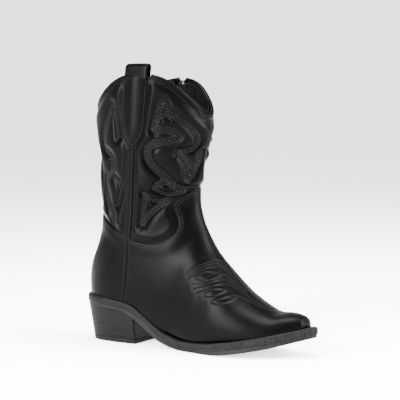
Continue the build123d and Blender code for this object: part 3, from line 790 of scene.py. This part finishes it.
shaft_heights = {}
for name, grid, sign, node in (("front", Grid(SHAFT_ROW, TOP_ROW, 330, -28, 205, 250), 1, "shaft_front_panel"),
                               ("rear", Grid(11.2, TOP_ROW, 270, 158, 388, 250), -1, "shaft_back_panel")):
    p = grid.p
    side, slot = sign * front_field(p), slot_field(p)
    top, edge = top_field(p), edge_field(p)
    relief = shaft_relief(p) + np.where(slot < FAR - 9, np.exp(-(slot / 1.2) ** 2) * 0.4, 0)
    obj = skin("Shaft " + name, grid, least(top, edge + 4.0, side + 0.3, slot), relief, SHAFT_MAT)
    place(obj, "upper_leather", node)
    inside = least(edge - 1, top - 5)
    lines = contour(grid, top, 4.6, relief, least(side - 1, slot - 1, strap_gap(p) - 0.5))
    lines += contour(grid, np.where(p[..., 1] < 0, side, -1.0), 5.2, relief, least(inside, strap_gap(p)))
    lines += contour(grid, np.where(p[..., 1] > 0, slot, -1.0), 2.6, relief, inside)
    sew("Shaft " + name + " edge stitches", lines, "upper_leather")
    shaft_heights[name] = (grid, relief, sign)

# Stitches of the pattern, laid on the raised surface.
for name, (grid, relief, sign) in shaft_heights.items():
    heights = relief.ravel()
    tree = tree_of(grid.p.reshape(-1, 3))
    lines = []
    for line, n in pattern_lines:
        dense = resample(np.hstack([line, n]), 0.8)[0]
        pts, nor = dense[:, :3], dense[:, 3:]
        found = [tree.find_n(v, 3) for v in pts]
        places = np.array([[i for _, i, _ in near] for near in found])
        distance = np.array([[d for _, _, d in near] for near in found])
        weight = 1 / (distance + 0.05)
        high = (heights[places] * weight).sum(1) / weight.sum(1)
        beside_zip = np.where(pts[:, 1] > 0, np.abs(zip_gap(pts)) - 11.5, FAR)
        on_panel = least(edge_field(pts) - 1.2, top_field(pts) - 6, sign * front_field(pts) - 3.5)
        ok = least(on_panel, 3.0 - distance[:, 0], beside_zip, strap_gap(pts) - 1.5) > 0
        lines += [(pts[run] + nor[run] * high[run][:, None], nor[run]) for run in runs_of(ok) if len(run) > 4]
    sew("Shaft " + name + " pattern stitches", lines, "upper_leather",
        length=2.4, gap=0.7, radius=0.5, lift=0.0)


# ---- the foot
ARC_ROWS = [
    [(6.97, 147), (6.55, 136), (6.03, 120), (5.57, 102), (5.21, 91)],
    [(6.87, 148), (6.43, 137), (5.93, 121), (5.49, 106), (5.07, 98), (4.63, 93)],
    [(6.75, 149), (6.33, 138), (5.83, 122), (5.37, 108), (4.93, 102), (4.46, 97), (4.1, 94)],
    [(6.27, 142), (5.89, 129), (5.41, 119), (5.07, 114)],
    [(6.27, 142), (6.0, 140), (5.59, 134), (5.25, 124), (5.07, 114)],
    [(6.39, 149), (5.81, 140), (5.33, 125), (4.95, 110), (4.44, 103), (4.0, 98)],
    [(6.25, 152), (5.71, 141), (5.23, 127), (4.83, 114), (4.34, 106), (3.9, 102), (3.5, 98)],
    [(6.07, 153), (5.57, 143), (5.07, 128), (4.69, 117), (4.22, 109), (3.74, 105), (3.3, 99)],
    [(5.57, 150), (5.39, 142), (4.83, 129), (4.71, 128)],
    [(5.57, 150), (5.19, 145), (4.85, 136), (4.71, 128)],
    [(5.13, 152), (4.79, 142), (4.42, 127), (4.06, 116), (3.64, 111), (3.2, 104), (2.95, 92)],
    [(5.13, 152), (4.69, 146), (4.36, 134), (4.2, 122)],
]
medallion_lines = [channel_rows(points, 1, mirror)[0] for mirror in (False, True) for points in ARC_ROWS]
medallion_samples = np.vstack([resample(line, 0.6)[0] for line, _ in medallion_lines])


def foot_relief(p, front_side):
    """The foot's leather: lapped over the shaft's lower edge, grooved along its stitches."""
    inside = -edge_field(p)
    lap = (1 - smooth_step(inside, 5.0, 17.0)) * smooth_step(inside, -0.4, 0.5)
    seam = np.abs(front_field(p))
    groove = 0.25 * np.exp(-((seam - 2.6) / 1.6) ** 2) - 0.5 * np.exp(-(seam / 0.8) ** 2)
    beside_zip = (p[..., 1] > 0) & (p[..., 2] >= ZIP_BOTTOM[2] - 4)
    height = lap + np.where(beside_zip, 0, groove)
    if front_side:
        rows = nearest(p, medallion_samples, 12)
        raised = smooth_step(rows, 0.6, 2.2) * (1 - smooth_step(rows, 3.0, 10.0))
        height = height - 0.28 * np.exp(-(rows / 0.8) ** 2) + 0.18 * raised
    soft = 0.22 * np.sin(p[..., 0] * 0.07 + 0.5) * np.sin(p[..., 2] * 0.09 + 1.1)
    instep = 0.7 * np.exp(-((p[..., 0] - 60) / 20) ** 2 - (p[..., 1] / 18) ** 2)
    return height + soft + instep


for name, grid, sign, node in (("Vamp", Grid(0.0, 12.9, 400, -100, 260, 236, nose=10), 1, "vamp"),
                               ("Heel foxing", Grid(7.6, 15.6, 200, 150, 396, 230), -1, "heel_foxing")):
    p = grid.p
    relief = foot_relief(p, sign > 0)
    inside, feather = -edge_field(p), area_distance(p, ABOVE_FEATHER)
    side, slot = sign * front_field(p), slot_field(p)
    field = least(inside, feather + 1.5, side, slot)
    cover(name, grid, field, relief, LEATHER_MAT, "upper_leather", node, rim=1.6)
    clear = least(feather - 2, slot - 1, side - 1)
    lines = contour(grid, inside, 1.9, relief, clear) + contour(grid, inside, 4.2, relief, clear)
    room = least(inside - 1, feather - 2)
    lines += contour(grid, side, 2.4, relief, least(room, -p[..., 1] - 3))
    inner = least(room, p[..., 1] - 3)
    lines += contour(grid, side, 2.4, relief, least(inner, ZIP_BOTTOM[2] - 14 - p[..., 2]))
    beside_zip = least(p[..., 2] - ZIP_BOTTOM[2] + 8, np.abs(zip_gap(p)) - 5.5)
    lines += contour(grid, slot, 2.6, relief, least(inner, beside_zip))
    sew(name + " stitches", lines, "upper_leather", length=1.9, radius=0.26)
lines = []
for line, n in medallion_lines:
    dense = resample(np.hstack([line, n]), 0.8)[0]
    pts, nor = dense[:, :3], dense[:, 3:]
    lines.append((pts + nor * foot_relief(pts, True)[:, None], nor))
sew("Vamp pattern stitches", lines, "upper_leather", length=2.2, gap=0.75, radius=0.38, lift=0.02)


# ---- collar, seam strip and strap
def collar_line(angles, inset):
    """For each angle, the point of the surface where the leather's top edge runs."""
    t = np.linspace(14.5, 18.95, 260)
    f = top_field(on_last(*np.meshgrid(t, angles, indexing="ij")))
    out = []
    for angle, column in zip(angles, f.T):
        below = np.where((column[:-1] > 0) & (column[1:] <= 0))[0]
        i = below[-1] if len(below) else len(t) - 2
        u = column[i] / (column[i] - column[i + 1])
        out.append(on_last(t[i] + u * (t[i + 1] - t[i]), angle, inset))
    return np.array(out)


turn = even_angles(np.array([18.2]), 0, 2 * math.pi, 361)[0][:-1]
collar = resample(collar_line(turn, inset=2.3), 1.4, closed=True)[0]
zip_end = np.where(collar[:, 1] > 0, np.abs(zip_gap(collar)) - 5.0, FAR)
free = least(zip_end, strap_gap(collar) - 0.6) > 0
order = (np.arange(len(collar)) + int(np.argmin(free))) % len(collar)
fronts, rears = [], []
for run in runs_of(free[order]):
    pts = collar[order[run]]
    thick = 2.6 * (1 + 0.2 * np.exp(-(zip_end[order[run]] / 3.0) ** 2))
    obj = tube("Collar piping", pts - (0, 0, 0.2), thick, STRAP_MAT, sides=14, squash=1.15)
    (fronts if front_field(pts).mean() > 0 else rears).append(obj)
for objs, node in ((fronts, "collar_piping_front"), (rears, "collar_piping_rear")):
    for k, obj in enumerate(objs):
        place(obj, "strap_leather", *([node] if k == 0 else []))

outer = Grid(11.5, TOP_ROW, 420, 140, 214, 170)
z = outer.p[..., 2]
strip = least(3.0 - np.abs(area_distance(outer.p, SEAM_AREA)), z - 112.0, 217.0 - z)
relief = 1.15 * (1 - np.exp(-np.maximum(strip, 0) / 0.5)) + 0.03 * np.sin(z * 0.9)
cover("Side seam strip", outer, strip, relief, STRAP_MAT, "strap_leather", "side_seam_strip", rim=1.2)
lines = contour(outer, strip, 1.0, relief, least(z - 114.0, 213.0 - z))
sew("Seam strip stitches", lines, "strap_leather", length=1.8, radius=0.26)

LEG_TOP = 286.8
inside = area_distance(outer.p, STRAP_AREA)
edge = np.maximum(inside, 0)
relief = 1.6 * (1 - np.exp(-edge / 0.7)) + 2.6 * (1 - (1 - np.clip((edge - 2.0) / 11.5, 0, 1)) ** 2)
relief = relief - 0.35 * np.exp(-((edge - 2.0) / 0.7) ** 2)
strap = skin("Pull strap", outer, least(inside, LEG_TOP - z), relief, STRAP_MAT, rim=1.8)
lines = contour(outer, inside, 2.0, relief, 284.5 - z)
lines += contour(outer, LEG_TOP - z, 1.8, relief, inside - 2.0)
sew("Pull strap stitches", lines, "strap_leather", length=1.9, radius=0.28)

# The loop: a folded ribbon over the top edge, with rounded selvedges.
LOOP_OUTER_Y, LOOP_INNER_Y, LOOP_TOP = -52.0, -42.6, 300.0
HALF_THICK = 0.85
radius = (LOOP_INNER_Y - LOOP_OUTER_Y) / 2
crown, bend = LOOP_TOP - radius, radius - HALF_THICK
route = [(LOOP_OUTER_Y + 0.9, z) for z in np.linspace(283.5, crown, 10)]
route += [((LOOP_OUTER_Y + LOOP_INNER_Y) / 2 - bend * math.cos(a), crown + bend * math.sin(a))
          for a in np.linspace(0.15, math.pi - 0.15, 16)]
route += [(LOOP_INNER_Y - 0.9 + 0.003 * min(z - 286, 0) ** 2, z) for z in np.linspace(crown, 260, 22)]
route = np.array(route)
ahead = unit(np.gradient(route, axis=0))
across = np.linspace(-1, 1, 27)
selvedge = HALF_THICK * (1 - np.abs(across) ** 10) ** 0.5
section = list(zip(across, selvedge + 0.25 * (1 - across * across)))
section += list(zip(across[-2:0:-1], -selvedge[-2:0:-1]))
verts, uvs = [], []
for k, ((y, z), (ahead_y, ahead_z)) in enumerate(zip(route, ahead)):
    for share, high in section:
        x = share * STRAP_HALF
        verts.append((strap_centre(z) + x, y - ahead_z * high, z + ahead_y * high))
        uvs.append((x * MM, k * MM))
loop = make_object("Pull strap loop", verts, stacked(len(route), len(section)), STRAP_MAT, uvs=uvs)
face_outwards(loop)
place(strap, "strap_leather", "pull_strap")
place(loop, "strap_leather")


# ---- lining
lining = Grid(SHAFT_ROW, TOP_ROW, 190, 0, 360, 260, inset=WALL)
top = top_field(lining.p)
fold = 0.25 * np.sin(lining.angle * 9 + lining.t * 1.7) * smooth_step(18.0 - lining.t, 0, 3)
sunk = np.full_like(fold, -0.7)
field = least(top - 0.6, edge_field(lining.p) + 2.0)
zone = np.where(lining.p[..., 1] > 0, np.abs(zip_gap(lining.p)) - 8.0, FAR)
cover("Shaft lining", lining, least(field, top - 17.0), fold - 0.3, LINING_MAT, "lining_fabric", "shaft_lining",
      rim=0.8, inward=True)
cover("Collar facing", lining, least(field, 17.6 - top, zone), sunk, FACING_MAT, "lining_fabric",
      rim=0.6, inward=True)
lines = contour(lining, top, 15.6, sunk, zone)
sew("Facing stitches", [(pts, -n) for pts, n in lines], "lining_fabric", radius=0.25)
behind = Grid(SHAFT_ROW, TOP_ROW, 200, -30, 60, 80, inset=WALL + 0.9)
p = behind.p
guard = least(21.0 - np.abs(zip_gap(p)), p[..., 2] - ZIP_FOOT, top_field(p) - 5.0)
guard = np.where(p[..., 1] > 0, guard, -1.0)
cover("Zip guard", behind, guard, 0.2 * np.sin(p[..., 2] * 0.1), FACING_MAT, "lining_fabric", "zip_guard",
      rim=0.8, inward=True)


# ---- sole, heel
feather_line, bottom_line = catmull(FEATHER, 16), catmull(SOLE_BOTTOM, 16)


def feather_z(x):
    return np.interp(x, feather_line[:, 0], feather_line[:, 1])


def bottom_z(x):
    return np.interp(x, bottom_line[:, 0], bottom_line[:, 1])


outline, outline_step = resample(catmull(SOLE_OUTLINE, 24, closed=True), 1.3, closed=True)
ahead = unit(np.roll(outline, -1, axis=0) - np.roll(outline, 1, axis=0))
outward = np.stack([ahead[:, 1], -ahead[:, 0]], 1)
if (outward * outline).sum() < 0:
    outward = -outward
BAND_PROFILE = [(-14, 1, -0.2), (-8, 1, 0.0), (-4.5, 1, 0.1), (-3.0, 1, 0.05), (-2.0, 1, -0.1), (-1.0, 1, 0.05),
                (-0.45, 1, -0.05), (-0.15, 1, -0.35), (0.0, 1, -0.9), (0.12, 0.7, 0), (0.15, 0.45, 0),
                (0.05, 0.2, 0), (-0.1, 0.0, 0.5), (-0.5, 0.0, 0.1), (-1.2, 0, 0), (-14, 0, 0.3)]
HEEL_SEAT_FRONT = -0.064


def sole_band():
    """A closed band round the sole: profile points are (outset, share of the height, z shift)."""
    verts, faces, uvs = [], [], []
    rings, n = len(BAND_PROFILE), len(outline)
    for k, (point, out) in enumerate(zip(outline, outward)):
        low = feather_z(point[0]) - WELT_THICK
        for out_by, share, shift in BAND_PROFILE:
            verts.append((*(point + out * out_by), low + share * WELT_THICK + shift))
            uvs.append((k * outline_step * MM, (share * 8 + shift - out_by) * MM))
        a, b = k * rings, (k + 1) % n * rings
        faces += [(a + r, b + r, b + r + 1, a + r + 1) for r in range(rings - 1)]
    obj = make_object("Sole band", verts, faces, EDGE_MAT, uvs=uvs)
    face_outwards(obj, close=True)
    obj.data.materials.append(HEEL_SEAT_MAT)
    for polygon in obj.data.polygons:
        if polygon.center.x < HEEL_SEAT_FRONT:
            polygon.material_index = 1
    return obj


place(sole_band(), "welt_synthetic", "midsole_welt")
line = np.column_stack([outline - outward * 2.0, feather_z(outline[:, 0]) - 0.1])
line = np.vstack([line, line[:1]])
sew("Welt stitches", [(line, np.tile((0, 0, 1.0), (len(line), 1)))], "welt_synthetic", WELT_THREAD_MAT,
    length=2.0, gap=1.0, radius=0.42, lift=0.15)

HEEL_HEIGHT = 46.0
HEEL_BREAST = -67.0
HEEL_ROUND_FROM = -50.0
HEEL_MIDDLE = np.array((-95.0, 0))
HEEL_COLUMNS = 150
LAYER, LAYER_GROOVE, BEVEL = 3.1, 0.28, 0.35


def heel_ring(z):
    """The heel's plan outline at a height: rounded back, straight sides and a hollow front."""
    share = z / HEEL_HEIGHT
    back, half = -129.5 - 7.5 * share, 23.5 + 7.5 * share
    angle = np.linspace(0, math.pi, 400)
    x = HEEL_ROUND_FROM - (HEEL_ROUND_FROM - back) * np.sin(angle) ** 0.62
    y = half * np.sign(np.cos(angle)) * np.abs(np.cos(angle)) ** 0.62
    sides = np.stack([x, y], 1)[x < HEEL_BREAST]
    edge_y = abs(sides[0, 1])
    breast = np.linspace(1.2 - edge_y, edge_y - 1.2, 16)
    hollow = HEEL_BREAST - 0.8 * (1 - (breast / edge_y) ** 2)
    return resample(np.vstack([sides, np.stack([hollow, breast], 1)]), closed=True, count=HEEL_COLUMNS)[0]


def heel_piece(name, low, high_of, mat, levels, groove=0.0):
    """A slice of the heel, from a height up to a surface, with grooves between its layers."""
    verts = []
    for share in np.linspace(0, 1, levels):
        ring = heel_ring(low + share * (38 - low))
        ring = heel_ring(float(np.mean(low + share * (high_of(ring[:, 0]) - low))))
        z = low + share * (high_of(ring[:, 0]) - low)
        layer = (z - low) / LAYER
        cut = groove * np.exp(-((layer - np.round(layer)) * LAYER / LAYER_GROOVE) ** 2)
        if share < 0.2:
            cut = cut + 0.5 * np.exp(-(z - low) / BEVEL)
        verts.extend(np.column_stack([ring - unit(ring - HEEL_MIDDLE) * cut[:, None], z]))
    obj = make_object(name, verts, stacked(levels, HEEL_COLUMNS), mat)
    face_outwards(obj)
    for polygon in obj.data.polygons:
        if len(polygon.vertices) > 4:
            polygon.use_smooth = False
    return obj


place(heel_piece("Heel block", 5.0, bottom_z, HEEL_MAT, 120, groove=0.16), "heel_stack", "heel_block")
place(heel_piece("Top lift", 0.0, lambda x: 0 * x + 4.9, LIFT_MAT, 18), "top_lift_rubber", "top_lift")


# ---- zip
COIL_START, COIL_END, COIL_PITCH, COIL_DEPTH = 5.4, 181.0, 1.5, 1.75
along = unit(ZIP_TOP - ZIP_BOTTOM)
rearward = unit(np.cross(along, (0, 1.0, 0)))
zip_outward = np.cross(rearward, along)
tapes = Grid(SHAFT_ROW, TOP_ROW, 330, -30, 60, 150, inset=LEATHER)
p = tapes.p
for name, sign, node in (("Zip tape front", 1, "zip_tape_front"), ("Zip tape rear", -1, "zip_tape_rear")):
    side = sign * zip_gap(p)
    field = least(side - 0.4, 13.0 - side, p[..., 2] - ZIP_FOOT, 283.6 - p[..., 2])
    field = np.where(p[..., 1] > 0, field, -1.0)
    cover(name, tapes, field, 0.1 * np.sin(side * 4.0) - 0.1, TAPE_MAT, "zip_tape", node, rim=0.6)


def beside(at, reach):
    """A point of the coils: at a distance up the zip and a reach to the rear of its line."""
    return ZIP_BOTTOM + along * at + rearward * reach - zip_outward * COIL_DEPTH


for name, sign, node in (("Zip coil front", -1, "zip_teeth_front"), ("Zip coil rear", 1, "zip_teeth_rear")):
    first = COIL_START + (COIL_PITCH / 2 if sign > 0 else 0)
    facing = np.tile(zip_outward, (3, 1))
    lines = [(np.array([beside(at, sign * reach) for reach in (-0.35, 1.325, 3.0)]), facing)
             for at in np.arange(first, COIL_END, COIL_PITCH)]
    coil = capsules(name, lines, TEETH_MAT, length=3.3, gap=0.02, radius=0.52, lift=0.15, sides=8)
    route = [beside(at, sign * 2.6) for at in np.linspace(5, 181.5, 40)]
    place(coil, "zip_coil", node)
    place(tube(name + " cord", route, 0.7, TEETH_MAT, sides=8), "zip_coil")

CAD_FINISHES = {
    METAL_MAT: ("zip_top_stops", "zip_bottom_stop", "zip_slider", "zip_puller"),
    STEEL_MAT: ("shank", "heel_nails"),
    STIFF_MAT: ("toe_puff", "heel_counter"),
    FOAM_MAT: ("shaft_foam_front", "shaft_foam_rear"),
    TREAD_MAT: ("outsole",),
    BOARD_MAT: ("insole_board",),
    SOCK_MAT: ("sock_liner",),
    BACKING_MAT: ("foot_interlining",),
    LINING_MAT: ("foot_lining",),
}
for mat, nodes in CAD_FINISHES.items():
    for node in nodes:
        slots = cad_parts[node].data.materials
        slots.clear()
        slots.append(mat)
for node in CAD_FINISHES[METAL_MAT]:
    round_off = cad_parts[node].modifiers.new("Rounded edges", "BEVEL")
    round_off.width = 0.0003
    round_off.segments = 2
    round_off.limit_method = "ANGLE"


# ---- stage
FLOOR_HALF = 12.0
floor_mat = material("floor", grey(0.86), 0.8, spec=0.0)
fill(shader_of(floor_mat), Emission_Color=(1, 1, 1, 1), Emission_Strength=1.5)
bpy.ops.mesh.primitive_plane_add(size=2 * FLOOR_HALF, location=(0, 0, 0))
floor = bpy.context.object
floor.name = "Floor"
floor.data.materials.append(floor_mat)

world = bpy.data.worlds.new("Studio")
world.use_nodes = True
sky = world.node_tree
direction = sky.nodes.new("ShaderNodeTexCoord")
split = sky.nodes.new("ShaderNodeSeparateXYZ")
fade = sky.nodes.new("ShaderNodeMapRange")
fill(fade, From_Min=0.2, From_Max=0.8, To_Min=2.6, To_Max=0.7)
sky.links.new(direction.outputs["Generated"], split.inputs[0])
sky.links.new(split.outputs["Z"], fade.inputs["Value"])
sky.links.new(fade.outputs["Result"], sky.nodes["Background"].inputs["Strength"])
fill(sky.nodes["Background"], Color=(1, 1, 1, 1))
bpy.context.scene.world = world

AZIMUTH, ELEVATION, DISTANCE = math.radians(30), math.radians(4.2), 1.5
LENS, SENSOR = 127.6, 36.0
level = math.cos(ELEVATION)
back = Vector((math.sin(AZIMUTH) * level, -math.cos(AZIMUTH) * level, math.sin(ELEVATION)))
right = Vector((math.cos(AZIMUTH), math.sin(AZIMUTH), 0))
up = Vector((0, 0, 1))
target = right * -0.00033 + up * 0.1565


def lamp(name, offset, power, width, height):
    """A rectangular lamp that stands off from the target and shines at it."""
    data = bpy.data.lights.new(name, "AREA")
    data.energy = power
    data.shape = "RECTANGLE"
    data.size = width
    data.size_y = height
    obj = bpy.data.objects.new(name, data)
    obj.location = target + offset
    obj.rotation_euler = (-offset).to_track_quat("-Z", "Y").to_euler()
    bpy.context.scene.collection.objects.link(obj)


lamp("Key", back * 0.95 - right * 0.9 + up * 0.38, 190, 0.4, 1.2)
lamp("Side", back * 0.25 + right * 1.1 + up * 0.5, 120, 0.35, 1.1)
lamp("Top", up * 1.3 + back * 0.1, 120, 0.7, 0.7)
lamp("Behind", back * -0.9 + up * 0.7 - right * 0.3, 5, 0.8, 0.6)

camera_data = bpy.data.cameras.new("Camera")
camera_data.sensor_width = SENSOR
camera_data.lens = LENS
camera = bpy.data.objects.new("Camera", camera_data)
camera.location = target + back * DISTANCE
camera.rotation_euler = back.to_track_quat("Z", "Y").to_euler()
bpy.context.scene.collection.objects.link(camera)
bpy.context.scene.camera = camera
